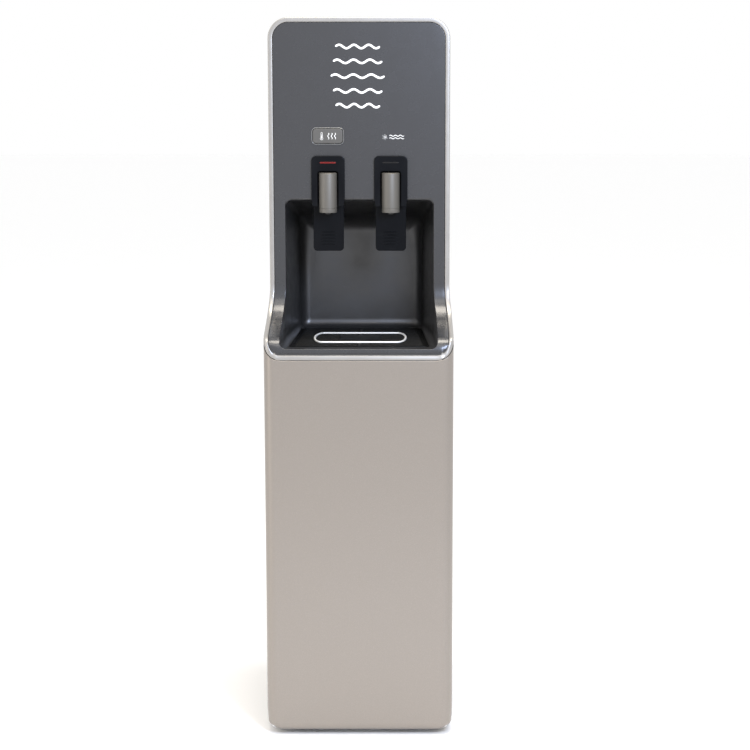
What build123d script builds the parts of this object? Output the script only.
from build123d import *
import os
from math import atan, cos, degrees, radians, sin, tan

# A floor-standing hot and cold water dispenser that is fed from the mains. Millimetres, +Z up, the front
# looks along -Y, and the origin is on the floor under the middle of the body.

# ---- Driving dimensions: the body ----
HEIGHT = 1071.0  # top of the body over the floor
DEPTH = 370.0  # lower front face to the back edges
WIDTH_LOW = 280.0
WIDTH_UP = 271.0
SKIRT = 6.0  # level of the body's lower edge
Y_FRONT = -DEPTH / 2
Y_BACK = DEPTH / 2
Y_FASCIA = -75.0  # the upright fascia stands back from the lower front
FLARE_LOW = 604.0  # the sides draw in between this level and the start of the fascia's curve
SWEEP_RADIUS = 55.0  # hollow curve under the fascia
SWEEP_ANGLE = 75.0
LIP_RADIUS = 25.0  # rounded lip at the front of the ledge
TOP_CORNER = 31.0
FOOT_CORNER = 20.0  # lower corners, seen from the front
FOOT_ROUND = 12.0  # lower front edge, seen from the side
EDGE_ROUND = 16.0  # upright front edges, seen from above
SHEET = 1.2  # steel sheet
SEAM = 0.4  # open gap between neighbouring panels

# ---- Rim, fascia and recess ----
RIM_WIDTH = 7.0
RIM_FOOT = 10.0  # the rim is taller where it crosses the front
RIM_BOTTOM = 574.0
RIM_CORNER = 25.0
RIM_THICK = 3.0
FASCIA_THICK = 3.0
OPENING_INSET = 23.9
OPENING_TOP = 803.0
OPENING_BOTTOM = 591.0
OPENING_CORNER = 10.0
BACK_ROUND = 16.0  # soft edges of the recess where it meets its back wall
FLOOR = 586.0  # floor of the recess
BACK_WALL = 75.0
BACK_HALF_WIDTH = 94.5
CEILING_DROP = 42.0  # the ceiling falls this much from the fascia to the back wall
LINER = 2.5

# ---- Drip tray ----
TRAY_FRONT = -133.0
TRAY_BACK = 53.0
TRAY_HALF_FRONT = 105.5
TRAY_HALF_BACK = 94.0
TRAY_CORNER = 8.0
TRAY_DEPTH = 36.0
TRAY_WALL = 2.0
TRAY_GAP = 0.6
GRILLE_THICK = 3.5
SLOT_PITCH = 6.0
SLOT_WIDTH = 3.0
RING_HALF_X = 71.0
RING_HALF_Y = 48.5
RING_CENTRE_Y = -47.5
RING_END = 14.0
RING_BAND = 3.0
RING_HEIGHT = 2.0

# ---- Taps ----
TAP_X = 47.0
TAPS = {"hot": -TAP_X, "cold": TAP_X}
BEZEL_HALF = 25.0
BEZEL_TOP = 866.7
BEZEL_PROUD = 4.0
BEZEL_CORNER = 8.0
CHIN_BOTTOM = 791.0  # the bezel hangs down in front of the levers
CHIN_HALF = 23.4
WINDOW_HALF = 15.8
WINDOW_TOP = 844.3
WINDOW_CORNER = 4.5
HOUSING_HALF = 21.5
HOUSING_WALL = 2.0
HOUSING_BOTTOM = 800.0
HOUSING_TOP = 862.0
HOUSING_BACK = -36.0
WINDOW_BACK = -62.5
SPOUT_RADIUS = 13.3
SPOUT_Y = -76.0
SPOUT_TOP = 841.5
SPOUT_BOTTOM = 782.0
SPOUT_WALL = 2.0
PIPE_RADIUS = 4.0
PIPE_BORE = 2.6
PIPE_Z = 832.0
PIPE_END = -20.0
PIVOT_Y = -53.0
PIVOT_Z = 818.0
PIN_RADIUS = 1.5
RUNNING = 0.05  # radial clearance of a running fit
LEVER_HALF = 23.0
LEVER_BOTTOM = 722.0
LEVER_SHOULDER = 799.4
LEVER_FRONT = -58.0
LEVER_THICK = 4.0
ARM_INNER = 7.0
ARM_OUTER = 16.0
BOSS_RADIUS = 4.5
RIDGE_COUNT = 5
RIDGE_PITCH = 4.6
RIDGE_LOW = 731.5
PLUNGER_Z = 808.0
PLUNGER_RADIUS = 1.4
PLUNGER_TIP = -49.7
SWITCH_FRONT = -40.0
SWITCH_BACK = -24.0
INDICATOR_Z = 856.5
INDICATOR_WIDTH = 24.0
INDICATOR_HEIGHTS = {"hot": 2.4, "cold": 1.8}

# ---- Hot water safety button ----
BUTTON_X = -47.0
BUTTON_Z = 896.0
BUTTON_WIDTH = 44.6
BUTTON_HEIGHT = 21.4
BUTTON_CORNER = 4.5
FRAME_WIDTH = 48.0
FRAME_HEIGHT = 24.8
BOARD_Y = -60.0

# ---- Inside the body ----
SHELF_Z = 858.0
SHELF_FRONT = -30.0
REAR_PLANE = 172.0  # the rear panels stand in from the back edges
PANEL_SPLIT = 560.0
HOT_TANK = (-72.0, 70.0)
COLD_TANK = (62.0, 76.0)
TANK_FLOOR = 874.0
PORT_BOTTOM = 850.0
COMPRESSOR = (-10.0, 70.0)
COMPRESSOR_RADIUS = 62.0
FILTER_X = 70.0
FILTER_Y = -112.0
FILTER_RADIUS = 28.0
TUBE_RADIUS = 3.2
SERVICE_Z = 95.0  # height of the connections on the lower rear panel
INLET_X = 85.0
DRAIN_X = 48.0
SOCKET_X = -85.0
ROCKER_X = (-36.0, -8.0)
ROCKER_TILT = 8.0
SOCKET_WIDTH = 27.6
SOCKET_HEIGHT = 20.0
SWITCH_BODY_WIDTH = 52.0
SWITCH_BODY_HEIGHT = 26.0
THREAD_RADIUS = 8.0  # water inlet and drain
LINE_RADIUS = 3.0  # refrigerant lines
DISCHARGE = (-100.0, 262.0)  # where the refrigerant leaves through the rear panel
FAR = 2 * DEPTH  # longer than any cut has to be

# ---- Values that follow ----
HALF_LOW = WIDTH_LOW / 2
HALF_UP = WIDTH_UP / 2
LIP_Z = RIM_BOTTOM + RIM_FOOT  # the front face becomes upright here
SWEEP_TURN = radians(SWEEP_ANGLE)
BOTH_RADII = SWEEP_RADIUS + LIP_RADIUS
LEDGE_RUN = Y_FASCIA - Y_FRONT - BOTH_RADII * (1 - cos(SWEEP_TURN))
CURVE_TOP = LIP_Z + BOTH_RADII * sin(SWEEP_TURN) + LEDGE_RUN / tan(SWEEP_TURN)
FLARE_BEND = 2 * atan((HALF_LOW - HALF_UP) / (CURVE_TOP - FLARE_LOW))
FLARE_RADIUS = (CURVE_TOP - FLARE_LOW) / (2 * sin(FLARE_BEND))
CEILING_SLOPE = CEILING_DROP / (BACK_WALL - Y_FASCIA)
TRAY_BOTTOM = FLOOR - TRAY_DEPTH
GRILLE_TOP = FLOOR + 1.0
LEVER_BACK = LEVER_FRONT + LEVER_THICK


def block(low, high, mode=Mode.ADD):
    """A box between two opposite corners, for the part that is open."""
    size = Vector(*high) - Vector(*low)
    with Locations((Vector(*low) + Vector(*high)) / 2):
        Box(size.X, size.Y, size.Z, mode=mode)


def rod(centre, radius, length, axis="Z", mode=Mode.ADD):
    """A round bar about its centre, along X, Y or Z."""
    turn = {"X": (0, 90, 0), "Y": (90, 0, 0), "Z": (0, 0, 0)}[axis]
    with Locations(Location(centre, turn)):
        Cylinder(radius, length, mode=mode)


def front_view(inset, bottom=SKIRT, foot_corner=FOOT_CORNER, foot_inset=None):
    """The body seen from the front, drawn in by inset, from the level bottom to the top."""
    low, up, top = HALF_LOW - inset, HALF_UP - inset, HEIGHT - inset
    floor = bottom + (inset if foot_inset is None else foot_inset)
    foot = foot_corner - inset
    round_top = TOP_CORNER - inset
    with BuildSketch(Plane.XZ) as view:
        with BuildLine():
            Line((0, floor), (low - foot, floor))
            corner = JernArc((low - foot, floor), (1, 0), foot, 90)
            Line(corner @ 1, (low, FLARE_LOW))
            lower = JernArc((low, FLARE_LOW), (0, 1), FLARE_RADIUS, degrees(FLARE_BEND))
            upper = JernArc(lower @ 1, lower % 1, FLARE_RADIUS, -degrees(FLARE_BEND))
            Line(upper @ 1, (up, top - round_top))
            shoulder = JernArc((up, top - round_top), (0, 1), round_top, 90)
            Line(shoulder @ 1, (0, top))
            mirror(about=Plane.YZ)
        make_face()
    return view.sketch


def side_view(inset):
    """The body seen from the side, with its front drawn in by inset."""
    with BuildSketch(Plane.YZ) as view:
        with BuildLine():
            Line((Y_BACK, HEIGHT), (Y_FASCIA + inset, HEIGHT))
            Line((Y_FASCIA + inset, HEIGHT), (Y_FASCIA + inset, CURVE_TOP))
            hollow = JernArc(
                (Y_FASCIA + inset, CURVE_TOP), (0, -1), SWEEP_RADIUS + inset, -SWEEP_ANGLE
            )
            lip_start = (
                Y_FRONT + LIP_RADIUS - (LIP_RADIUS - inset) * cos(SWEEP_TURN),
                LIP_Z + (LIP_RADIUS - inset) * sin(SWEEP_TURN),
            )
            Line(hollow @ 1, lip_start)
            forward = (-sin(SWEEP_TURN), -cos(SWEEP_TURN))
            lip = JernArc(lip_start, forward, LIP_RADIUS - inset, SWEEP_ANGLE)
            Line(lip @ 1, (Y_FRONT + inset, SKIRT + FOOT_ROUND))
            toe = JernArc((Y_FRONT + inset, SKIRT + FOOT_ROUND), (0, -1), FOOT_ROUND - inset, 90)
            Line(toe @ 1, (Y_BACK, SKIRT + inset))
            Line((Y_BACK, SKIRT + inset), (Y_BACK, HEIGHT))
        make_face()
    return view.sketch


def plan_view(inset):
    """The body seen from above, drawn in by inset, with its rounded front edges."""
    with BuildSketch() as view:
        with Locations((0, inset / 2)):
            Rectangle(WIDTH_LOW - 2 * inset, DEPTH - inset)
        fillet(view.vertices().group_by(Axis.Y)[0], EDGE_ROUND - inset)
    return view.sketch


def body_space(inset):
    """All that the body's outer surface holds, drawn in by inset."""
    with BuildPart() as space:
        extrude(front_view(inset), amount=FAR, both=True)
        extrude(side_view(inset), amount=FAR, both=True, mode=Mode.INTERSECT)
        extrude(plan_view(inset), amount=2 * HEIGHT, both=True, mode=Mode.INTERSECT)
    return space.part


def front_layer(outer, inner):
    """The layer that follows the front surface between two depths."""
    with BuildPart() as layer:
        extrude(side_view(outer), amount=FAR, both=True)
        extrude(side_view(inner), amount=FAR, both=True, mode=Mode.SUBTRACT)
        block((-FAR, -FAR, -FAR), (FAR, FAR, SKIRT + FOOT_ROUND), Mode.SUBTRACT)
    return layer.part


def face_region(inset, foot_inset):
    """A bar through the whole body that keeps what lies inside the rim, drawn in by inset."""
    with BuildPart() as region:
        extrude(front_view(inset, RIM_BOTTOM, RIM_CORNER, foot_inset), amount=FAR, both=True)
    return region.part


def opening_region(inset):
    """A bar along Y with the outline of the recess opening, drawn in by inset."""
    with BuildPart() as region:
        view = front_view(
            OPENING_INSET + inset, OPENING_BOTTOM + inset, OPENING_INSET + OPENING_CORNER, 0
        )
        extrude(view, amount=FAR, both=True)
        block((-FAR, -FAR, OPENING_TOP - inset), (FAR, FAR, HEIGHT + FAR), Mode.SUBTRACT)
        edges_up = region.edges().filter_by(Axis.Y).group_by(Axis.Z)[-1]
        fillet(edges_up, OPENING_CORNER - inset)
    return region.part


def skin(thickness):
    """Sheet that follows the sides and the top of the body."""
    with BuildPart() as sheet:
        extrude(front_view(0), amount=FAR, both=True)
        extrude(front_view(thickness), amount=FAR, both=True, mode=Mode.SUBTRACT)
        block((-FAR, Y_BACK, -FAR), (FAR, FAR, 2 * HEIGHT), Mode.SUBTRACT)
    return sheet.part


def recess_space(grow):
    """The room in the recess, grown on every side by grow."""
    half_front = HALF_LOW - OPENING_INSET + grow
    half_fascia = HALF_UP - OPENING_INSET + grow
    half_back = BACK_HALF_WIDTH + grow
    back = BACK_WALL + grow
    with BuildPart() as space:
        with BuildSketch(Plane.XY.offset(FLOOR - grow)):
            with BuildLine():
                Line((0, Y_FRONT - LIP_RADIUS), (half_front, Y_FRONT - LIP_RADIUS))
                Line((half_front, Y_FRONT - LIP_RADIUS), (half_fascia, Y_FASCIA))
                Line((half_fascia, Y_FASCIA), (half_back, back))
                Line((half_back, back), (0, back))
                mirror(about=Plane.YZ)
            make_face()
        extrude(amount=OPENING_TOP - FLOOR + 2 * grow)
        with BuildSketch(Plane.YZ):
            with BuildLine():
                top = OPENING_TOP + grow
                drop_back = top - CEILING_DROP - CEILING_SLOPE * grow
                over = top + LINER
                Polyline((Y_FASCIA, top), (back, drop_back), (back, over), (Y_FASCIA, over), close=True)
            make_face()
        extrude(amount=FAR, both=True, mode=Mode.SUBTRACT)
        rear = space.faces().sort_by(Axis.Y)[-1]
        fillet(rear.edges(), BACK_ROUND + grow)
    return space.part


def tray_outline(inset):
    """The tray seen from above: wider in front than behind."""
    with BuildSketch() as outline:
        with BuildLine():
            Polyline(
                (0, TRAY_FRONT + inset),
                (TRAY_HALF_FRONT - inset, TRAY_FRONT + inset),
                (TRAY_HALF_BACK - inset, TRAY_BACK - inset),
                (0, TRAY_BACK - inset),
            )
            mirror(about=Plane.YZ)
        make_face()
        fillet(outline.vertices(), TRAY_CORNER - inset / 2)
    return outline.sketch


def prism(outline, low, high):
    """An upright prism on an outline."""
    with BuildPart() as solid:
        with BuildSketch(Plane.XY.offset(low)):
            add(outline)
        extrude(amount=high - low)
    return solid.part


def bent_tube(points, bend, radius, bore=0.0):
    """A round tube along straight runs with rounded turns."""
    with BuildPart() as tube:
        with BuildLine() as path:
            FilletPolyline(*points, radius=bend)
        with BuildSketch(Plane(origin=path.line @ 0, z_dir=path.line % 0)):
            Circle(radius)
            if bore:
                Circle(bore, mode=Mode.SUBTRACT)
        sweep()
    return tube.part


def drum(centre, radius, low, tall, rounding):
    """A closed drum with rounded edges."""
    with BuildPart() as solid:
        rod((*centre, low + tall / 2), radius, tall)
        fillet(solid.edges().filter_by(GeomType.CIRCLE), rounding)
    return solid.part


def finish(part, name):
    """Names a piece and writes it to its own file."""
    part.label = name
    export_step(part, f"parts/{name}.step")


os.makedirs("parts", exist_ok=True)

# ======== Outer shell ========
TAP_CUT_HALF = HOUSING_HALF + 2.5
RIM_BACK = RIM_THICK + SEAM

with BuildPart() as rim_trim:
    add(body_space(0))
    add(front_layer(0, RIM_THICK), mode=Mode.INTERSECT)
    add(face_region(0, 0), mode=Mode.INTERSECT)
    add(face_region(RIM_WIDTH, RIM_FOOT), mode=Mode.SUBTRACT)
finish(rim_trim.part, "rim_trim")

with BuildPart() as fascia_panel:
    add(body_space(0))
    add(front_layer(0, FASCIA_THICK), mode=Mode.INTERSECT)
    add(face_region(RIM_WIDTH + SEAM, RIM_FOOT + SEAM), mode=Mode.INTERSECT)
    add(opening_region(0), mode=Mode.SUBTRACT)
    for tap_x in TAPS.values():
        block(
            (tap_x - TAP_CUT_HALF, Y_FASCIA - FASCIA_THICK, OPENING_TOP - OPENING_CORNER),
            (tap_x + TAP_CUT_HALF, Y_FASCIA + 2 * FASCIA_THICK, HOUSING_TOP + 0.5),
            Mode.SUBTRACT,
        )
    with BuildSketch(Plane.XZ.offset(-Y_FASCIA)):
        with Locations((BUTTON_X, BUTTON_Z)):
            RectangleRounded(FRAME_WIDTH - 2.0, FRAME_HEIGHT - 2.0, BUTTON_CORNER + 1.0)
    extrude(amount=2 * FASCIA_THICK, both=True, mode=Mode.SUBTRACT)
finish(fascia_panel.part, "fascia_panel")

TOP_SEAM = HEIGHT - TOP_CORNER - 10.0
CORNER_RETURN = Y_FRONT + EDGE_ROUND + 9.0
BASE_EDGE = HALF_LOW - FOOT_CORNER - 2.0
FLANGE_WIDTH = 9.0
FLANGE_FRONT = REAR_PLANE + SHEET + 0.2

for side_name, sign in (("left", -1), ("right", 1)):
    with BuildPart() as side_panel:
        add(skin(SHEET))
        extrude(side_view(0), amount=FAR, both=True, mode=Mode.INTERSECT)
        add(front_layer(0, RIM_BACK), mode=Mode.SUBTRACT)
        block((-FAR, -FAR, TOP_SEAM - SEAM), (FAR, FAR, FAR + HEIGHT), Mode.SUBTRACT)
        block((-FAR, -FAR, -FAR), (FAR, CORNER_RETURN + SEAM, RIM_BOTTOM), Mode.SUBTRACT)
        block((-FAR, -FAR, RIM_BOTTOM), (FAR, CORNER_RETURN + SEAM, LIP_Z + RIM_CORNER), Mode.SUBTRACT)
        inner_edge, outer_edge = sorted((-sign * FAR, sign * BASE_EDGE))
        block((inner_edge, -FAR, -FAR), (outer_edge, FAR, FAR + HEIGHT), Mode.SUBTRACT)
        # a flange turned in along the back edge
        flange = sorted((sign * HALF_LOW, sign * (HALF_UP - SHEET - FLANGE_WIDTH)))
        block(
            (flange[0], FLANGE_FRONT, 2 * FOOT_CORNER),
            (flange[1], FLANGE_FRONT + SHEET, TOP_SEAM - SEAM),
        )
        extrude(front_view(0), amount=FAR, both=True, mode=Mode.INTERSECT)
    finish(side_panel.part, f"side_panel_{side_name}")

with BuildPart() as front_panel:
    add(body_space(0))
    add(body_space(LINER), mode=Mode.SUBTRACT)
    block((-FAR, CORNER_RETURN, -FAR), (FAR, FAR, FAR + HEIGHT), Mode.SUBTRACT)
    block((-FAR, -FAR, LIP_Z + RIM_CORNER), (FAR, FAR, FAR + HEIGHT), Mode.SUBTRACT)
    add(face_region(-SEAM, -SEAM), mode=Mode.SUBTRACT)
finish(front_panel.part, "front_panel")

with BuildPart() as cover_back:
    extrude(front_view(LINER / 2), amount=FAR, both=True)
    block((-FAR, REAR_PLANE, TOP_SEAM), (FAR, REAR_PLANE + LINER, FAR + HEIGHT), Mode.INTERSECT)

with BuildPart() as top_cover:
    add(skin(LINER))
    extrude(side_view(0), amount=FAR, both=True, mode=Mode.INTERSECT)
    add(front_layer(0, RIM_BACK), mode=Mode.SUBTRACT)
    block((-FAR, -FAR, -FAR), (FAR, FAR, TOP_SEAM), Mode.SUBTRACT)
    add(cover_back.part)
finish(top_cover.part, "top_cover")

REAR_HALF = HALF_UP - SHEET - SEAM
with BuildPart() as rear_panel_upper:
    block(
        (-REAR_HALF, REAR_PLANE, PANEL_SPLIT + SEAM),
        (REAR_HALF, REAR_PLANE + SHEET, TOP_SEAM - SEAM),
    )
finish(rear_panel_upper.part, "rear_panel_upper")

PAN_INSET = LINER + SEAM
PAN_FLOOR = SKIRT + PAN_INSET
PAN_WALL_TOP = 30.0
LOUVRE_ROWS = 9
LOUVRE_PITCH = 11.0
LOUVRE_WIDTH = 78.0
LOUVRE_HEIGHT = 4.0
LOUVRE_SPREAD = 90.0
LOUVRE_DROP = 80.0
with BuildPart() as rear_panel_lower:
    block(
        (-REAR_HALF, REAR_PLANE, PAN_WALL_TOP + SEAM),
        (REAR_HALF, REAR_PLANE + SHEET, PANEL_SPLIT),
    )
    with BuildSketch(Plane.XZ.offset(-REAR_PLANE)):
        with Locations((0, PANEL_SPLIT - LOUVRE_DROP)):
            with GridLocations(LOUVRE_SPREAD, LOUVRE_PITCH, 2, LOUVRE_ROWS):
                SlotOverall(LOUVRE_WIDTH, LOUVRE_HEIGHT)
    extrude(amount=-SHEET, mode=Mode.SUBTRACT)
    with BuildSketch(Plane.XZ.offset(-REAR_PLANE)):
        with Locations((SOCKET_X, SERVICE_Z)):
            Rectangle(SOCKET_WIDTH + SEAM, SOCKET_HEIGHT + SEAM)
        with Locations((sum(ROCKER_X) / 2, SERVICE_Z)):
            Rectangle(SWITCH_BODY_WIDTH + SEAM, SWITCH_BODY_HEIGHT + SEAM)
        with Locations((INLET_X, SERVICE_Z), (DRAIN_X, SERVICE_Z)):
            Circle(THREAD_RADIUS + 0.1)
        with Locations(DISCHARGE):
            Circle(1.5 * LINE_RADIUS)
    extrude(amount=-SHEET, mode=Mode.SUBTRACT)
finish(rear_panel_lower.part, "rear_panel_lower")

FOOT_X = 96.0
FOOT_Y = 142.0
FOOT_RADIUS = 15.0
FEET = [(sx * FOOT_X, sy * FOOT_Y) for sx in (-1, 1) for sy in (-1, 1)]
with BuildPart() as base_pan:
    add(body_space(PAN_INSET))
    add(body_space(PAN_INSET + SHEET), mode=Mode.SUBTRACT)
    block((-FAR, -FAR, PAN_WALL_TOP), (FAR, FAR, FAR + HEIGHT), Mode.SUBTRACT)
    block((-FAR, REAR_PLANE, -FAR), (FAR, FAR, FAR), Mode.SUBTRACT)
    block((-BASE_EDGE, REAR_PLANE - SHEET, PAN_FLOOR), (BASE_EDGE, REAR_PLANE, PAN_WALL_TOP))
finish(base_pan.part, "base_pan")

with BuildPart() as levelling_feet:
    with Locations(*[(x, y, 0) for x, y in FEET]):
        Cylinder(FOOT_RADIUS, PAN_FLOOR, align=(Align.CENTER, Align.CENTER, Align.MIN))
    chamfer(levelling_feet.edges().filter_by(GeomType.CIRCLE).group_by(Axis.Z)[0], 1.5)
finish(levelling_feet.part, "levelling_feet")

RAIL = 12.0
RAIL_X = HALF_UP - SHEET - 1.0
RAIL_FRONT_Y = -146.0
RAIL_REAR_Y = REAR_PLANE - SHEET - 0.2
RAIL_FOOT = PAN_WALL_TOP + 1.0
RAIL_ENDS = ((RAIL_FRONT_Y, 1, TRAY_BOTTOM - 8.0), (RAIL_REAR_Y, -1, TOP_SEAM - 4.0))
with BuildPart() as chassis_rails:
    for sign in (-1, 1):
        outer, thin, inner = sign * RAIL_X, sign * (RAIL_X - SHEET), sign * (RAIL_X - RAIL)
        for y, turn, top in RAIL_ENDS:
            block(
                (min(outer, thin), min(y, y + turn * RAIL), RAIL_FOOT),
                (max(outer, thin), max(y, y + turn * RAIL), top),
            )
            block(
                (min(outer, inner), min(y, y + turn * SHEET), RAIL_FOOT),
                (max(outer, inner), max(y, y + turn * SHEET), top),
            )
finish(chassis_rails.part, "chassis_rails")

# ======== Recess and drip tray ========
WELL_GAP = TRAY_GAP + LINER
with BuildPart() as recess_liner:
    add(recess_space(LINER))
    extrude(side_view(FASCIA_THICK + 0.2), amount=FAR, both=True, mode=Mode.INTERSECT)
    add(prism(tray_outline(-WELL_GAP), TRAY_BOTTOM - WELL_GAP, FLOOR - LINER / 2))
    add(recess_space(0), mode=Mode.SUBTRACT)
    add(prism(tray_outline(-TRAY_GAP), TRAY_BOTTOM - TRAY_GAP, FLOOR + LINER), mode=Mode.SUBTRACT)
    for tap_x in TAPS.values():
        block(
            (tap_x - TAP_CUT_HALF, Y_FASCIA - LINER, OPENING_TOP - 2 * OPENING_CORNER),
            (tap_x + TAP_CUT_HALF, HOUSING_BACK + 0.5, OPENING_TOP + 2 * LINER),
            Mode.SUBTRACT,
        )
finish(recess_liner.part, "recess_liner")

LEDGE_Z = GRILLE_TOP - GRILLE_THICK
with BuildPart() as drip_tray:
    add(prism(tray_outline(0), TRAY_BOTTOM, GRILLE_TOP))
    add(prism(tray_outline(TRAY_WALL), LEDGE_Z, FLOOR + LINER), mode=Mode.SUBTRACT)
    add(prism(tray_outline(2 * TRAY_WALL), TRAY_BOTTOM + TRAY_WALL, LEDGE_Z), mode=Mode.SUBTRACT)
finish(drip_tray.part, "drip_tray")

PAD_HALF_X = 31.0
PAD_HALF_Y = 26.0
with BuildPart() as drip_grille:
    add(prism(tray_outline(TRAY_WALL + 0.4), LEDGE_Z, GRILLE_TOP))
    with BuildSketch(Plane.XY.offset(LEDGE_Z)):
        slot_rows = int((TRAY_BACK - TRAY_FRONT) / SLOT_PITCH) - 2
        with Locations((0, (TRAY_BACK + TRAY_FRONT) / 2)):
            with GridLocations(2 * TRAY_HALF_FRONT, SLOT_PITCH, 2, slot_rows):
                Rectangle(2 * TRAY_HALF_FRONT - 4.0, SLOT_WIDTH)
        add(tray_outline(4 * TRAY_WALL), mode=Mode.INTERSECT)
        with Locations((0, RING_CENTRE_Y)):
            RectangleRounded(2 * PAD_HALF_X, 2 * PAD_HALF_Y, 6.0, mode=Mode.SUBTRACT)
    extrude(amount=GRILLE_THICK, mode=Mode.SUBTRACT)
finish(drip_grille.part, "drip_grille")


def ring_outline(grow):
    """The cup ring seen from above: straight long sides and rounded ends."""
    straight = RING_HALF_X - RING_END
    with BuildSketch(Plane.XY.offset(GRILLE_TOP)) as outline:
        with Locations((0, RING_CENTRE_Y)):
            Rectangle(2 * straight, 2 * (RING_HALF_Y + grow))
        with Locations((-straight, RING_CENTRE_Y), (straight, RING_CENTRE_Y)):
            Ellipse(RING_END + grow, RING_HALF_Y + grow)
    return outline.sketch


with BuildPart() as grille_ring:
    extrude(ring_outline(0), amount=RING_HEIGHT)
    extrude(ring_outline(-RING_BAND), amount=RING_HEIGHT, mode=Mode.SUBTRACT)
finish(grille_ring.part, "grille_ring")

# ======== Taps ========
PIN_HALF = HOUSING_HALF
SPOUT_HEIGHT = SPOUT_TOP - SPOUT_BOTTOM
DISC_THICK = 3.0
for tap, tap_x in TAPS.items():
    with BuildPart() as tap_housing:
        # the bezel plate in front of the fascia
        with BuildSketch(Plane.XZ.offset(-Y_FASCIA)):
            with BuildLine():
                Polyline(
                    (tap_x - CHIN_HALF, CHIN_BOTTOM),
                    (tap_x + CHIN_HALF, CHIN_BOTTOM),
                    (tap_x + BEZEL_HALF, OPENING_TOP),
                    (tap_x + BEZEL_HALF, BEZEL_TOP),
                    (tap_x - BEZEL_HALF, BEZEL_TOP),
                    (tap_x - BEZEL_HALF, OPENING_TOP),
                    close=True,
                )
            make_face()
        extrude(amount=BEZEL_PROUD)
        fillet(tap_housing.edges().filter_by(Axis.Y).group_by(Axis.Z)[-1], BEZEL_CORNER)
        fillet(tap_housing.faces().sort_by(Axis.Y)[0].edges(), 1.2)
        # the box behind it, open behind and below
        block(
            (tap_x - HOUSING_HALF, Y_FASCIA, HOUSING_BOTTOM),
            (tap_x + HOUSING_HALF, HOUSING_BACK, HOUSING_TOP),
        )
        block(
            (tap_x - HOUSING_HALF + HOUSING_WALL, WINDOW_BACK + HOUSING_WALL, HOUSING_BOTTOM),
            (tap_x + HOUSING_HALF - HOUSING_WALL, HOUSING_BACK, HOUSING_TOP - HOUSING_WALL),
            Mode.SUBTRACT,
        )
        # the window that the spout hangs in
        window_z = (WINDOW_TOP + CHIN_BOTTOM) / 2 - WINDOW_CORNER
        with BuildSketch(Plane.XZ.offset(-WINDOW_BACK)):
            with Locations((tap_x, window_z)):
                RectangleRounded(2 * WINDOW_HALF, 2 * (WINDOW_TOP - window_z), WINDOW_CORNER)
        extrude(amount=FAR, mode=Mode.SUBTRACT)
        rod((tap_x, WINDOW_BACK, PIPE_Z), PIPE_RADIUS + 0.1, 4 * HOUSING_WALL, "Y", Mode.SUBTRACT)
        rod((tap_x, PIVOT_Y, PIVOT_Z), PIN_RADIUS, 2 * PIN_HALF, "X", Mode.SUBTRACT)
    finish(tap_housing.part, f"{tap}_tap_housing")

    with BuildPart() as spout_sleeve:
        rod((tap_x, SPOUT_Y, (SPOUT_TOP + SPOUT_BOTTOM) / 2), SPOUT_RADIUS, SPOUT_HEIGHT)
        chamfer(spout_sleeve.edges().filter_by(GeomType.CIRCLE).group_by(Axis.Z)[-1], 1.0)
        rod(
            (tap_x, SPOUT_Y, (SPOUT_TOP + SPOUT_BOTTOM) / 2 - SPOUT_WALL),
            SPOUT_RADIUS - SPOUT_WALL, SPOUT_HEIGHT, mode=Mode.SUBTRACT,
        )
        with BuildSketch(Plane.XY.offset(SPOUT_BOTTOM + 6.0)):
            with Locations((tap_x, SPOUT_Y)):
                Circle(SPOUT_RADIUS)
                Circle(SPOUT_RADIUS - 0.4, mode=Mode.SUBTRACT)
        extrude(amount=0.8, mode=Mode.SUBTRACT)
        rod((tap_x, SPOUT_Y + SPOUT_RADIUS, PIPE_Z), PIPE_RADIUS + 0.1, SPOUT_RADIUS, "Y", Mode.SUBTRACT)
    finish(spout_sleeve.part, f"{tap}_spout_sleeve")

    with BuildPart() as nozzle:
        route = [
            (tap_x, SPOUT_Y, SPOUT_BOTTOM - 2.5),
            (tap_x, SPOUT_Y, PIPE_Z),
            (tap_x, PIPE_END, PIPE_Z),
        ]
        with BuildSketch(Plane.XY.offset(SPOUT_BOTTOM + 0.5)):
            with Locations((tap_x, SPOUT_Y)):
                Circle(SPOUT_RADIUS - SPOUT_WALL - 0.1)
                Circle(PIPE_RADIUS - 0.2, mode=Mode.SUBTRACT)
        extrude(amount=DISC_THICK)
        add(bent_tube(route, 2 * PIPE_RADIUS, PIPE_RADIUS, PIPE_BORE))
    finish(nozzle.part, f"{tap}_nozzle")

    with BuildPart() as indicator:
        with BuildSketch(Plane.XZ.offset(BEZEL_PROUD - Y_FASCIA)):
            with Locations((tap_x, INDICATOR_Z)):
                SlotOverall(INDICATOR_WIDTH, INDICATOR_HEIGHTS[tap])
        extrude(amount=0.4)
    finish(indicator.part, f"{tap}_indicator")

    with BuildPart() as lever:
        with BuildSketch(Plane.XZ.offset(-LEVER_BACK)):
            with Locations((tap_x, (LEVER_SHOULDER + LEVER_BOTTOM) / 2)):
                Rectangle(2 * LEVER_HALF, LEVER_SHOULDER - LEVER_BOTTOM)
        extrude(amount=LEVER_THICK)
        fillet(lever.edges().filter_by(Axis.Y).group_by(Axis.Z)[0], 6.0)
        fillet(lever.edges().filter_by(Axis.Y).group_by(Axis.Z)[-1], 2.0)
        fillet(lever.faces().sort_by(Axis.Y)[0].edges(), 1.0)
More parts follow.
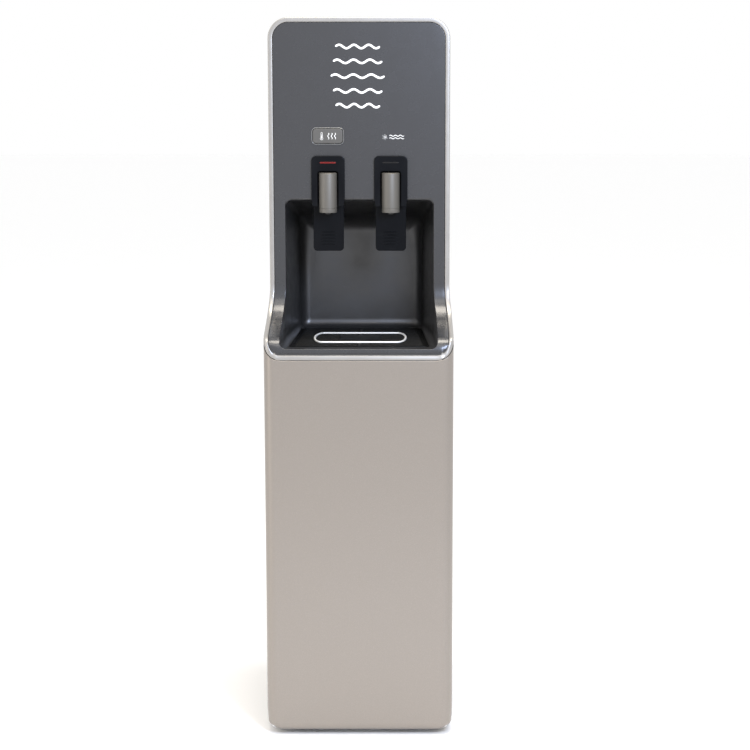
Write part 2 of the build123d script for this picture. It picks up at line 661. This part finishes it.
        # two arms up to the pin and a web between them for the switch
        for sign in (-1, 1):
            near, far = sorted((tap_x + sign * ARM_INNER, tap_x + sign * ARM_OUTER))
            block((near, LEVER_FRONT + 1.0, LEVER_SHOULDER - 4.0), (far, LEVER_BACK + 4.0, PIVOT_Z))
            middle = (near + far) / 2
            rod((middle, PIVOT_Y, PIVOT_Z), BOSS_RADIUS, ARM_OUTER - ARM_INNER, "X")
        block(
            (tap_x - ARM_INNER, LEVER_BACK, LEVER_SHOULDER - 4.0),
            (tap_x + ARM_INNER, LEVER_BACK + 4.0, PLUNGER_Z + 3.0),
        )
        for ridge in range(RIDGE_COUNT):
            ridge_z = RIDGE_LOW + ridge * RIDGE_PITCH
            block((tap_x - 12.0, LEVER_FRONT - 1.0, ridge_z), (tap_x + 12.0, LEVER_FRONT, ridge_z + 1.6))
        rod((tap_x, PIVOT_Y, PIVOT_Z), PIN_RADIUS + RUNNING, 2 * HOUSING_HALF, "X", Mode.SUBTRACT)
    finish(lever.part, f"{tap}_lever")

    with BuildPart() as switch_plunger:
        length = SWITCH_FRONT + 4.0 - PLUNGER_TIP
        rod((tap_x, PLUNGER_TIP + length / 2, PLUNGER_Z), PLUNGER_RADIUS, length, "Y")
        fillet(switch_plunger.edges().filter_by(GeomType.CIRCLE).group_by(Axis.Y)[0], 0.8)
    finish(switch_plunger.part, f"{tap}_switch_plunger")

with BuildPart() as lever_pins:
    for tap_x in TAPS.values():
        rod((tap_x, PIVOT_Y, PIVOT_Z), PIN_RADIUS, 2 * PIN_HALF, "X")
finish(lever_pins.part, "lever_pins")

SPRING_TURNS = 8
SPRING_WIRE = 0.5
with BuildPart() as lever_springs:
    for tap_x in TAPS.values():
        for turn in range(SPRING_TURNS):
            turn_x = tap_x + (turn - (SPRING_TURNS - 1) / 2) * 2.4 * SPRING_WIRE
            with Locations(Location((turn_x, PIVOT_Y, PIVOT_Z), (0, 90, 0))):
                Torus(PIN_RADIUS + 2.2 * SPRING_WIRE, SPRING_WIRE)
finish(lever_springs.part, "lever_springs")

SWITCH_HALF = 9.0
with BuildPart() as lever_switches:
    for tap_x in TAPS.values():
        block(
            (tap_x - SWITCH_HALF, SWITCH_FRONT, PLUNGER_Z - 5.5),
            (tap_x + SWITCH_HALF, SWITCH_BACK, PLUNGER_Z + 6.0),
        )
        rod((tap_x, SWITCH_FRONT, PLUNGER_Z), PLUNGER_RADIUS + RUNNING, 14.0, "Y", Mode.SUBTRACT)
        for terminal in (-6.0, 0.0, 6.0):
            near, far = tap_x + terminal - 1.5, tap_x + terminal + 1.5
            block((near, SWITCH_BACK, PLUNGER_Z), (far, SWITCH_BACK + 5.0, PLUNGER_Z + 0.6))
finish(lever_switches.part, "lever_switches")

# ======== Hot water safety button ========
CAP_BACK = Y_FASCIA + 3.0
with BuildPart() as hot_button_frame:
    with BuildSketch(Plane.XZ.offset(-Y_FASCIA)):
        with Locations((BUTTON_X, BUTTON_Z)):
            RectangleRounded(FRAME_WIDTH, FRAME_HEIGHT, BUTTON_CORNER + 1.6)
            RectangleRounded(BUTTON_WIDTH + 0.5, BUTTON_HEIGHT + 0.5, BUTTON_CORNER + 0.2, mode=Mode.SUBTRACT)
    extrude(amount=0.8)
    with BuildSketch(Plane.XZ.offset(-Y_FASCIA)):
        with Locations((BUTTON_X, BUTTON_Z)):
            RectangleRounded(FRAME_WIDTH - 2.2, FRAME_HEIGHT - 2.2, BUTTON_CORNER + 0.9)
            RectangleRounded(BUTTON_WIDTH + 0.5, BUTTON_HEIGHT + 0.5, BUTTON_CORNER + 0.2, mode=Mode.SUBTRACT)
    extrude(amount=-8.0)
finish(hot_button_frame.part, "hot_button_frame")

with BuildPart() as hot_button:
    with BuildSketch(Plane.XZ.offset(-CAP_BACK)):
        with Locations((BUTTON_X, BUTTON_Z)):
            RectangleRounded(BUTTON_WIDTH, BUTTON_HEIGHT, BUTTON_CORNER)
    extrude(amount=CAP_BACK - Y_FASCIA + 1.6)
    fillet(hot_button.faces().sort_by(Axis.Y)[0].edges(), 0.7)
    rod((BUTTON_X, CAP_BACK + 2.0, BUTTON_Z), 2.4, 4.0, "Y")
finish(hot_button.part, "hot_button")

BOARD_THICK = 1.6
KEY_TOP = BOARD_Y - 6.0
with BuildPart() as control_board:
    block((-100.0, BOARD_Y, 872.0), (100.0, BOARD_Y + BOARD_THICK, 950.0))
    rod((BUTTON_X, (BOARD_Y + KEY_TOP) / 2, BUTTON_Z), 1.6, BOARD_Y - KEY_TOP, "Y")
    block((BUTTON_X - 3.0, BOARD_Y - 3.5, BUTTON_Z - 3.0), (BUTTON_X + 3.0, BOARD_Y, BUTTON_Z + 3.0))
    block((20.0, BOARD_Y + BOARD_THICK, 900.0), (60.0, BOARD_Y + 5 * BOARD_THICK, 930.0))
    block((-80.0, BOARD_Y + BOARD_THICK, 925.0), (-30.0, BOARD_Y + 8 * BOARD_THICK, 940.0))
finish(control_board.part, "control_board")

with BuildPart() as hot_button_spring:
    spring_front = CAP_BACK + 0.6
    spring_back = BOARD_Y - 0.6
    for turn in range(7):
        turn_y = spring_front + turn * (spring_back - spring_front) / 6
        with Locations(Location((BUTTON_X, turn_y, BUTTON_Z), (90, 0, 0))):
            Torus(5.2, SPRING_WIRE)
finish(hot_button_spring.part, "hot_button_spring")

# ======== Tanks on their shelf ========
HOT_JACKET = 54.0
HOT_SHELL = 44.0
COLD_JACKET = 69.0
COLD_SHELL = 51.0
TANK_SHEET = 1.0
TANK_ROUND = 8.0
COIL_TUBE = 3.0
HOT_HEIGHT = 140.0
COLD_HEIGHT = 150.0
HOT_PORTS = ((HOT_TANK[0] - 18.0, 95.0), (-TAP_X, 45.0))
COLD_PORTS = ((66.0, 95.0), (TAP_X, 45.0))
SUCTION_PORT = (COLD_TANK[0] + COLD_SHELL + COIL_TUBE, COLD_TANK[1])
PORT_RADIUS = 4.0
JACKET_FLOOR = SHELF_Z + SHEET

with BuildPart() as tank_shelf:
    block((-RAIL_X, SHELF_FRONT, SHELF_Z), (RAIL_X, REAR_PLANE - 2 * SHEET - RAIL, SHELF_Z + SHEET))
    block((-RAIL_X, SHELF_FRONT, SHELF_Z - 12.0), (RAIL_X, SHELF_FRONT + SHEET, SHELF_Z))
    for port in HOT_PORTS + COLD_PORTS + (SUCTION_PORT,):
        rod((*port, SHELF_Z), PORT_RADIUS + 1.0, 6 * SHEET, mode=Mode.SUBTRACT)
finish(tank_shelf.part, "tank_shelf")

TANKS = (
    ("hot", HOT_TANK, HOT_SHELL, HOT_JACKET, HOT_HEIGHT, HOT_PORTS, HOT_SHELL),
    ("cold", COLD_TANK, COLD_SHELL, COLD_JACKET, COLD_HEIGHT, COLD_PORTS, COLD_SHELL + 2 * COIL_TUBE),
)
for tank_name, centre, shell, jacket, tall, ports, room in TANKS:
    middle_z = TANK_FLOOR + tall / 2
    with BuildPart() as tank:
        add(drum(centre, shell, TANK_FLOOR, tall, TANK_ROUND))
        for port in ports:
            rod((*port, (TANK_FLOOR + 4.0 + PORT_BOTTOM) / 2), PORT_RADIUS, TANK_FLOOR + 4.0 - PORT_BOTTOM)
        hollow = (shell - TANK_SHEET, TANK_FLOOR + TANK_SHEET, tall - 2 * TANK_SHEET)
        add(drum(centre, *hollow, TANK_ROUND - TANK_SHEET), mode=Mode.SUBTRACT)
    finish(tank.part, f"{tank_name}_tank")
    with BuildPart() as insulation:
        rod((*centre, middle_z), jacket, tall + 2 * (TANK_FLOOR - JACKET_FLOOR))
        rod((*centre, middle_z), room + 0.5, tall + 1.0, mode=Mode.SUBTRACT)
        for port in ports:
            rod((*port, TANK_FLOOR - 6.0), PORT_RADIUS + 0.5, 20.0, mode=Mode.SUBTRACT)
        if tank_name == "cold":
            rod((*SUCTION_PORT, TANK_FLOOR - 6.0), PORT_RADIUS, 20.0, mode=Mode.SUBTRACT)
    finish(insulation.part, f"{tank_name}_tank_insulation")

COIL_TURNS = 12
with BuildPart() as evaporator_coil:
    for turn in range(COIL_TURNS):
        with Locations((*COLD_TANK, TANK_FLOOR + 20.0 + turn * 2.6 * COIL_TUBE)):
            Torus(COLD_SHELL + COIL_TUBE, COIL_TUBE - 0.05)
    tail_top = TANK_FLOOR + 20.0
    rod((*SUCTION_PORT, (tail_top + PORT_BOTTOM) / 2), COIL_TUBE - 0.05, tail_top - PORT_BOTTOM)
finish(evaporator_coil.part, "evaporator_coil")

# ======== Valves, filters and water tubes ========
VALVE_HALF = 13.0
VALVE_BACK = PIPE_END + 32.0
with BuildPart() as solenoid_valves:
    for tap_x in TAPS.values():
        block(
            (tap_x - VALVE_HALF, PIPE_END, PIPE_Z - 11.0),
            (tap_x + VALVE_HALF, VALVE_BACK, PIPE_Z + 9.0),
        )
        rod((tap_x, PIPE_END + 16.0, PIPE_Z - 20.0), 11.0, 18.0)
finish(solenoid_valves.part, "solenoid_valves")

MANIFOLD_LOW = 462.0
MANIFOLD_TOP = 492.0
FILTER_SPOTS = [(-FILTER_X, FILTER_Y), (0, FILTER_Y), (FILTER_X, FILTER_Y)]
with BuildPart() as filter_manifold:
    block((-RAIL_X + 3.0, FILTER_Y - 18.0, MANIFOLD_LOW), (RAIL_X - 3.0, FILTER_Y + 18.0, MANIFOLD_TOP))
    fillet(filter_manifold.edges().filter_by(Axis.Z), 6.0)
    with Locations(*[(x, y, MANIFOLD_LOW) for x, y in FILTER_SPOTS]):
        Cylinder(16.0, 10.0, align=(Align.CENTER, Align.CENTER, Align.MAX))
finish(filter_manifold.part, "filter_manifold")

FILTER_TOP = MANIFOLD_LOW - 10.0
FILTER_LENGTH = 255.0
with BuildPart() as filter_cartridges:
    with Locations(*[(x, y, FILTER_TOP) for x, y in FILTER_SPOTS]):
        Cylinder(FILTER_RADIUS, FILTER_LENGTH, align=(Align.CENTER, Align.CENTER, Align.MAX))
    fillet(filter_cartridges.edges().filter_by(GeomType.CIRCLE), 10.0)
finish(filter_cartridges.part, "filter_cartridges")

TUBE_Z = (MANIFOLD_LOW + MANIFOLD_TOP) / 2
MANIFOLD_BACK = FILTER_Y + 18.0
BEHIND_LINER = BACK_WALL + LINER + 17.5
BEND = 4 * TUBE_RADIUS
INLET_FITTING_FRONT = REAR_PLANE - 14.0
ROUTES = [
    [
        (INLET_X, INLET_FITTING_FRONT, SERVICE_Z),
        (INLET_X, 40.0, SERVICE_Z),
        (INLET_X, 40.0, TUBE_Z),
        (INLET_X, MANIFOLD_BACK, TUBE_Z),
    ],
    [
        (HOT_PORTS[0][0], MANIFOLD_BACK, TUBE_Z),
        (HOT_PORTS[0][0], BEHIND_LINER, TUBE_Z),
        (HOT_PORTS[0][0], BEHIND_LINER, PORT_BOTTOM),
    ],
    [
        (COLD_PORTS[0][0], MANIFOLD_BACK, TUBE_Z),
        (COLD_PORTS[0][0], BEHIND_LINER, TUBE_Z),
        (COLD_PORTS[0][0], BEHIND_LINER, PORT_BOTTOM),
    ],
] + [
    [(tap_x, VALVE_BACK, PIPE_Z), (tap_x, 45.0, PIPE_Z), (tap_x, 45.0, PORT_BOTTOM)]
    for tap_x in TAPS.values()
]
with BuildPart() as water_tubes:
    for route in ROUTES:
        add(bent_tube(route, BEND, TUBE_RADIUS))
finish(water_tubes.part, "water_tubes")

# ======== Refrigeration ========
MOUNT_RADIUS = 9.0
MOUNT_HEIGHT = 14.0
MOUNT_X = 46.0
MOUNT_Y = 62.0
PAN_TOP = PAN_FLOOR + SHEET
MOUNTS = [
    (COMPRESSOR[0] + sx * MOUNT_X, COMPRESSOR[1] + sy * MOUNT_Y)
    for sx in (-1, 1)
    for sy in (-1, 1)
]
COMPRESSOR_FOOT = PAN_TOP + MOUNT_HEIGHT
COMPRESSOR_TALL = 150.0
DOME = COMPRESSOR_FOOT + 5.0 + COMPRESSOR_TALL
COMPRESSOR_ROOM = (46.0, COMPRESSOR_FOOT + 25.0, COMPRESSOR_TALL - 40.0, 20.0)  # beside the motor
STUBS = ((COMPRESSOR[0] + 30.0, COMPRESSOR[1] + 20.0), (COMPRESSOR[0] - 30.0, COMPRESSOR[1] + 20.0))
with BuildPart() as compressor:
    rod((*COMPRESSOR, COMPRESSOR_FOOT + 5.0 + COMPRESSOR_TALL / 2), COMPRESSOR_RADIUS, COMPRESSOR_TALL)
    fillet(compressor.edges().filter_by(GeomType.CIRCLE), 28.0)
    add(drum(COMPRESSOR, *COMPRESSOR_ROOM), mode=Mode.SUBTRACT)
    rod((*COMPRESSOR, COMPRESSOR_FOOT + 5.0 + COMPRESSOR_TALL * 0.55), COMPRESSOR_RADIUS + 2.0, 8.0)
    block(
        (COMPRESSOR[0] - MOUNT_X - 12.0, COMPRESSOR[1] - MOUNT_Y - 10.0, COMPRESSOR_FOOT),
        (COMPRESSOR[0] + MOUNT_X + 12.0, COMPRESSOR[1] + MOUNT_Y + 10.0, COMPRESSOR_FOOT + 3.0),
    )
    rod((*COMPRESSOR, COMPRESSOR_FOOT + 12.0), COMPRESSOR_RADIUS - 24.0, 20.0)
    for stub in STUBS:
        rod((*stub, DOME - 8.0), 5.5, 30.0)
finish(compressor.part, "compressor")

with BuildPart() as compressor_mounts:
    with Locations(*[(x, y, PAN_TOP) for x, y in MOUNTS]):
        Cylinder(MOUNT_RADIUS, MOUNT_HEIGHT, align=(Align.CENTER, Align.CENTER, Align.MIN))
finish(compressor_mounts.part, "compressor_mounts")

CONDENSER_Y = REAR_PLANE + SHEET + 4.6
CONDENSER_HALF = 108.0
CONDENSER_LOW = 300.0
CONDENSER_ROWS = 12
CONDENSER_PITCH = 52.0
CONDENSER_TUBE = 2.6
CONDENSER_WIRE = 0.8
WIRE_COUNT = 32
CONDENSER_TOP = CONDENSER_LOW + (CONDENSER_ROWS - 1) * CONDENSER_PITCH
serpentine = [(DISCHARGE[0], CONDENSER_Y, DISCHARGE[1])]
for row in range(CONDENSER_ROWS):
    level = CONDENSER_LOW + row * CONDENSER_PITCH
    sides = (-1, 1) if row % 2 == 0 else (1, -1)
    first_x = DISCHARGE[0] if row == 0 else sides[0] * CONDENSER_HALF
    serpentine += [(first_x, CONDENSER_Y, level), (sides[1] * CONDENSER_HALF, CONDENSER_Y, level)]
with BuildPart() as condenser:
    add(bent_tube(serpentine, 14.0, CONDENSER_TUBE))
    wire_y = CONDENSER_Y + CONDENSER_TUBE + CONDENSER_WIRE
    wire_middle = (CONDENSER_TOP + CONDENSER_LOW) / 2
    with Locations((0, wire_y, wire_middle)):
        with GridLocations(2 * (CONDENSER_HALF - 18.0) / (WIRE_COUNT - 1), 1.0, WIRE_COUNT, 1):
            Cylinder(CONDENSER_WIRE, CONDENSER_TOP - CONDENSER_LOW + 20.0)
finish(condenser.part, "condenser")

STUB_TOP = DOME + 7.0
with BuildPart() as refrigerant_lines:
    suction = [
        (*STUBS[0], STUB_TOP),
        (*STUBS[0], 430.0),
        (SUCTION_PORT[0], 120.0, 560.0),
        (*SUCTION_PORT, 620.0),
        (*SUCTION_PORT, PORT_BOTTOM),
    ]
    add(bent_tube(suction, 16.0, LINE_RADIUS))
    discharge = [
        (*STUBS[1], STUB_TOP),
        (*STUBS[1], DISCHARGE[1]),
        (DISCHARGE[0], STUBS[1][1], DISCHARGE[1]),
        (DISCHARGE[0], CONDENSER_Y - CONDENSER_TUBE, DISCHARGE[1]),
    ]
    add(bent_tube(discharge, 16.0, LINE_RADIUS))
finish(refrigerant_lines.part, "refrigerant_lines")

# ======== Power and services at the back ========
with BuildPart() as power_module:
    block((-50.0, 112.0, 610.0), (50.0, 160.0, 790.0))
    fillet(power_module.edges().filter_by(Axis.Y), 4.0)
    with Locations((0, 112.0, 700.0)):
        with GridLocations(12.0, 1.0, 7, 1):
            Box(3.0, 12.0, 150.0)
finish(power_module.part, "power_module")

FLANGE_THICK = 2.5
FLANGE_BACK = REAR_PLANE + SHEET
SOCKET_DEPTH = 20.0
with BuildPart() as power_inlet:
    with BuildSketch(Plane.XZ.offset(-FLANGE_BACK)):
        with Locations((SOCKET_X, SERVICE_Z)):
            RectangleRounded(44.0, 28.0, 5.0)
    extrude(amount=-FLANGE_THICK)
    block(
        (
            SOCKET_X - SOCKET_WIDTH / 2,
            FLANGE_BACK - SOCKET_DEPTH - 4.0,
            SERVICE_Z - SOCKET_HEIGHT / 2,
        ),
        (SOCKET_X + SOCKET_WIDTH / 2, FLANGE_BACK, SERVICE_Z + SOCKET_HEIGHT / 2),
    )
    with BuildSketch(Plane.XZ.offset(-FLANGE_BACK - FLANGE_THICK)) as socket_mouth:
        with Locations((SOCKET_X, SERVICE_Z)):
            Rectangle(24.0, 16.0)
        chamfer(socket_mouth.vertices().group_by(Axis.Y)[-1], 4.0)
    extrude(amount=SOCKET_DEPTH, mode=Mode.SUBTRACT)
    blade_root = FLANGE_BACK + FLANGE_THICK - SOCKET_DEPTH
    for blade_x, blade_z in ((-7.0, -1.5), (0.0, 2.5), (7.0, -1.5)):
        block(
            (SOCKET_X + blade_x - 1.0, blade_root, SERVICE_Z + blade_z - 2.0),
            (SOCKET_X + blade_x + 1.0, blade_root + 14.0, SERVICE_Z + blade_z + 2.0),
        )
finish(power_inlet.part, "power_inlet")

ROCKER_HALF_X = 9.6
ROCKER_HALF_Z = 10.4
ROCKER_GAP = 0.4
ROCKER_DEPTH = 12.0
ROCKER_SPACE_X = ROCKER_HALF_X + ROCKER_GAP
ROCKER_SPACE_Z = ROCKER_HALF_Z + ROCKER_GAP
ROCKER_PIVOT_Y = FLANGE_BACK - 2.0
ROCKER_PIN = 1.4
ROCKER_PIN_LENGTH = 2 * (ROCKER_SPACE_X + 1.0)
BEZEL_MIDDLE = sum(ROCKER_X) / 2
with BuildPart() as rocker_bezel:
    with BuildSketch(Plane.XZ.offset(-FLANGE_BACK)):
        with Locations((BEZEL_MIDDLE, SERVICE_Z)):
            RectangleRounded(58.0, 32.0, 3.0)
    extrude(amount=-FLANGE_THICK)
    block(
        (
            BEZEL_MIDDLE - SWITCH_BODY_WIDTH / 2,
            FLANGE_BACK - SOCKET_DEPTH,
            SERVICE_Z - SWITCH_BODY_HEIGHT / 2,
        ),
        (BEZEL_MIDDLE + SWITCH_BODY_WIDTH / 2, FLANGE_BACK, SERVICE_Z + SWITCH_BODY_HEIGHT / 2),
    )
    for rocker_x in ROCKER_X:
        block(
            (rocker_x - ROCKER_SPACE_X, FLANGE_BACK - ROCKER_DEPTH, SERVICE_Z - ROCKER_SPACE_Z),
            (rocker_x + ROCKER_SPACE_X, FAR, SERVICE_Z + ROCKER_SPACE_Z),
            Mode.SUBTRACT,
        )
        rocker_axis = (rocker_x, ROCKER_PIVOT_Y, SERVICE_Z)
        rod(rocker_axis, ROCKER_PIN + RUNNING, ROCKER_PIN_LENGTH + SEAM, "X", Mode.SUBTRACT)
finish(rocker_bezel.part, "rocker_bezel")

ROCKER_RADIUS = 28.0
ROCKER_EDGE = ROCKER_HALF_Z - 0.8
ROCKER_FACE = FLANGE_THICK + 4.0
ROCKER_ROOT = -4.0
TILT = radians(ROCKER_TILT)
for rocker_name, rocker_x in zip(("power", "heater"), ROCKER_X):
    with BuildPart() as rocker:
        # the face is hollowed, and at rest the rocker lies on its lower side
        side = Plane(
            origin=(rocker_x - ROCKER_HALF_X, ROCKER_PIVOT_Y, SERVICE_Z),
            x_dir=(0, cos(TILT), sin(TILT)),
            z_dir=(1, 0, 0),
        )
        with BuildSketch(side):
            with BuildLine():
                edge_low = (ROCKER_FACE, -ROCKER_EDGE)
                edge_high = (ROCKER_FACE, ROCKER_EDGE)
                Polyline(edge_high, (ROCKER_ROOT, 6.0), (ROCKER_ROOT, -6.0), edge_low)
                RadiusArc(edge_low, edge_high, -ROCKER_RADIUS)
            make_face()
        extrude(amount=2 * ROCKER_HALF_X)
        rod((rocker_x, ROCKER_PIVOT_Y, SERVICE_Z), ROCKER_PIN, ROCKER_PIN_LENGTH, "X")
    finish(rocker.part, f"{rocker_name}_rocker")

NUT_RADIUS = 12.0
INLET_BORE = 3.25
BORE_LENGTH = 22.0
FITTING_BACK = FLANGE_BACK + 10.0
with BuildPart() as inlet_fitting:
    fitting_length = FITTING_BACK - INLET_FITTING_FRONT
    rod((INLET_X, FITTING_BACK - fitting_length / 2, SERVICE_Z), THREAD_RADIUS, fitting_length, "Y")
    with BuildSketch(Plane.XZ.offset(-FLANGE_BACK)):
        with Locations((INLET_X, SERVICE_Z)):
            RegularPolygon(NUT_RADIUS, 6)
    extrude(amount=-5.0)
    rod((INLET_X, FITTING_BACK - BORE_LENGTH / 2, SERVICE_Z), INLET_BORE, BORE_LENGTH, "Y", Mode.SUBTRACT)
finish(inlet_fitting.part, "inlet_fitting")

CAP_RADIUS = 9.0
SPIGOT_RADIUS = 6.0
with BuildPart() as drain_fitting:
    rod((DRAIN_X, REAR_PLANE - 4.0, SERVICE_Z), THREAD_RADIUS, 12.0, "Y")
    with BuildSketch(Plane.XZ.offset(-FLANGE_BACK)):
        with Locations((DRAIN_X, SERVICE_Z)):
            RegularPolygon(NUT_RADIUS, 6)
    extrude(amount=-2.0)
    rod((DRAIN_X, FLANGE_BACK + 4.0, SERVICE_Z), SPIGOT_RADIUS, 8.0, "Y")
    rod((DRAIN_X, FLANGE_BACK, SERVICE_Z), 3.5, 4 * THREAD_RADIUS, "Y", Mode.SUBTRACT)
finish(drain_fitting.part, "drain_fitting")

with BuildPart() as drain_cap:
    rod((DRAIN_X, FLANGE_BACK + 6.6, SERVICE_Z), CAP_RADIUS, 8.8, "Y")
    fillet(drain_cap.edges().filter_by(GeomType.CIRCLE).group_by(Axis.Y)[-1], 1.0)
    rod((DRAIN_X, FLANGE_BACK + 5.1, SERVICE_Z), SPIGOT_RADIUS + RUNNING, 6.0, "Y", Mode.SUBTRACT)
finish(drain_cap.part, "drain_cap")

SCREW_HEAD = 3.4
SCREW_X = HALF_UP - SHEET - FLANGE_WIDTH / 2
SCREW_THICK = 1.8
with BuildPart() as panel_screws:
    for screw_x in (-SCREW_X, SCREW_X):
        for screw_z in (60.0, 300.0, 520.0, 600.0, 820.0, 1010.0):
            rod((screw_x, FLANGE_FRONT + SHEET + SCREW_THICK / 2, screw_z), SCREW_HEAD, SCREW_THICK, "Y")
finish(panel_screws.part, "panel_screws")
